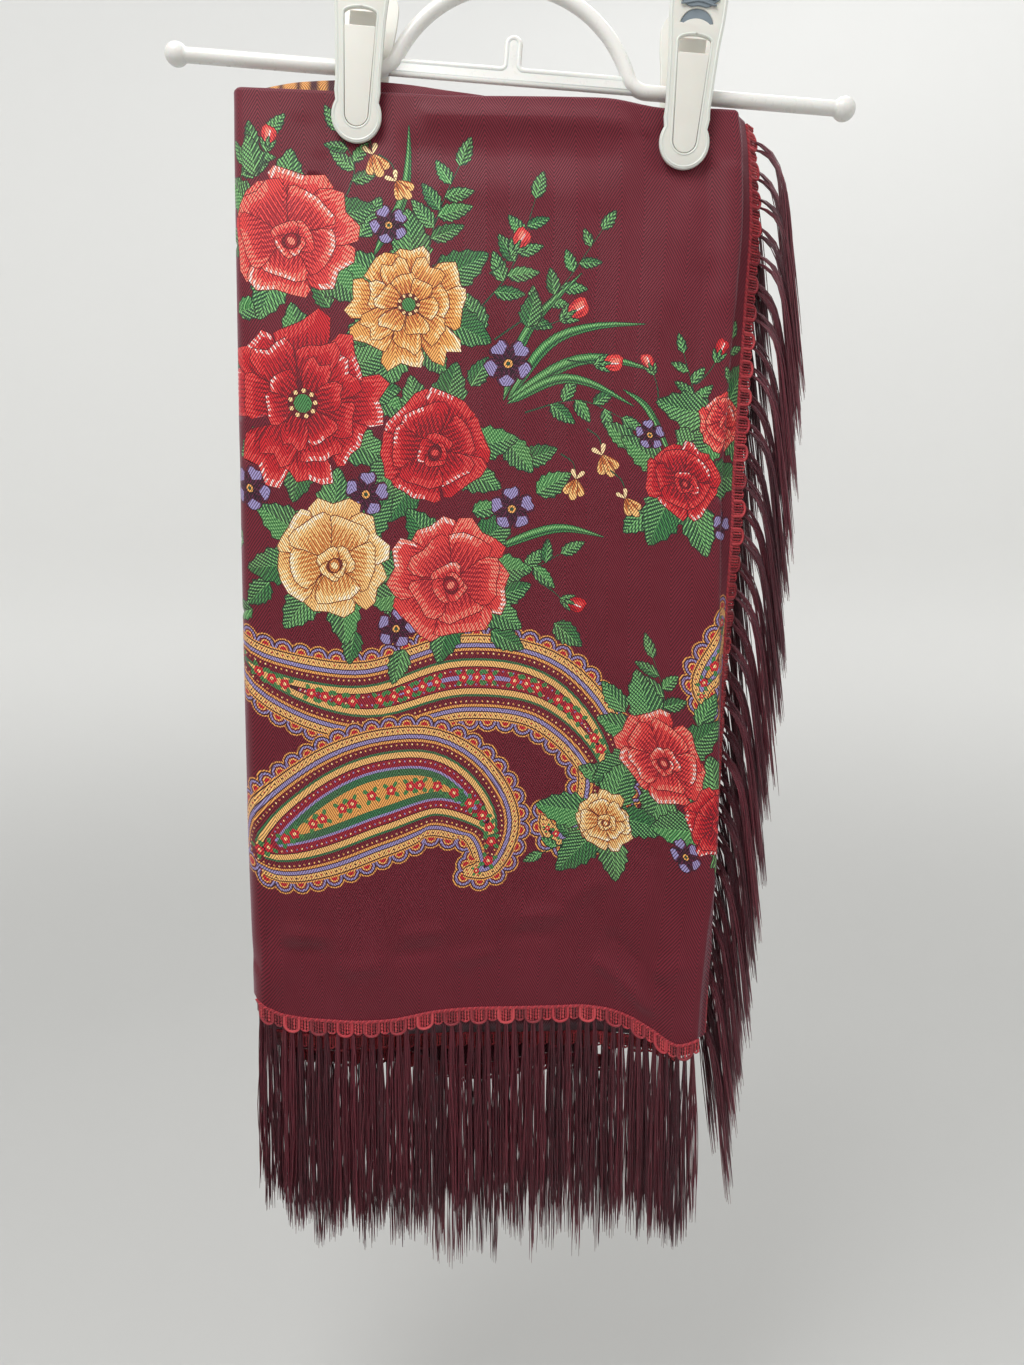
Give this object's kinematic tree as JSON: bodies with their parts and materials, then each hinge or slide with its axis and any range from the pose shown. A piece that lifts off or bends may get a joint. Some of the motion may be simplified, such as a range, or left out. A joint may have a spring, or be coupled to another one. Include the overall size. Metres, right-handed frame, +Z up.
{
  "type": "folded shawl on a clip hanger",
  "caption": "Square fringed shawl with a flower print, folded into a long panel and held at its top by two clips on a hanger with a hook.",
  "frame": {"origin": "inside top of the hanger's hook, where it hangs on a rail", "axes": "+Z up along the hanging cloth, +X to the right seen from the front, the front faces -Y"},
  "size_m": [0.3824, 0.0438, 0.825],
  "materials": {
    "shawl_cloth": "burgundy twill with a printed flower design and a soft sheen",
    "fringe": "crimson braid and dark plum silky fringe",
    "hanger_plastic": "white moulded plastic, satin gloss",
    "clip_plastic": "warm white moulded plastic, satin gloss",
    "clip_pad": "grey ribbed rubber"
  },
  "bodies": {
    "root": {"clip_left_back_lever": "clip_plastic", "clip_left_back_pad": "clip_pad", "clip_left_back_tongue": "clip_plastic", "clip_left_front_lever": "clip_plastic", "clip_left_front_pad": "clip_pad", "clip_left_front_tongue": "clip_plastic", "clip_left_saddle": "clip_plastic", "clip_right_back_lever": "clip_plastic", "clip_right_back_pad": "clip_pad", "clip_right_back_tongue": "clip_plastic", "clip_right_front_lever": "clip_plastic", "clip_right_front_pad": "clip_pad", "clip_right_front_tongue": "clip_plastic", "clip_right_saddle": "clip_plastic", "fringe_hem_back": "fringe", "fringe_hem_front": "fringe", "fringe_hem_second": "fringe", "fringe_hem_strip": "fringe", "fringe_hem_third": "fringe", "fringe_side_back": "fringe", "fringe_side_front": "fringe", "hanger_arch": "hanger_plastic", "hanger_hook": "hanger_plastic", "hanger_rail": "hanger_plastic", "hanger_rod_left": "hanger_plastic", "hanger_rod_right": "hanger_plastic", "shawl_back_strip": "shawl_cloth", "shawl_inner_layers": "shawl_cloth", "shawl_outer": "shawl_cloth"}
  },
  "joints": []
}
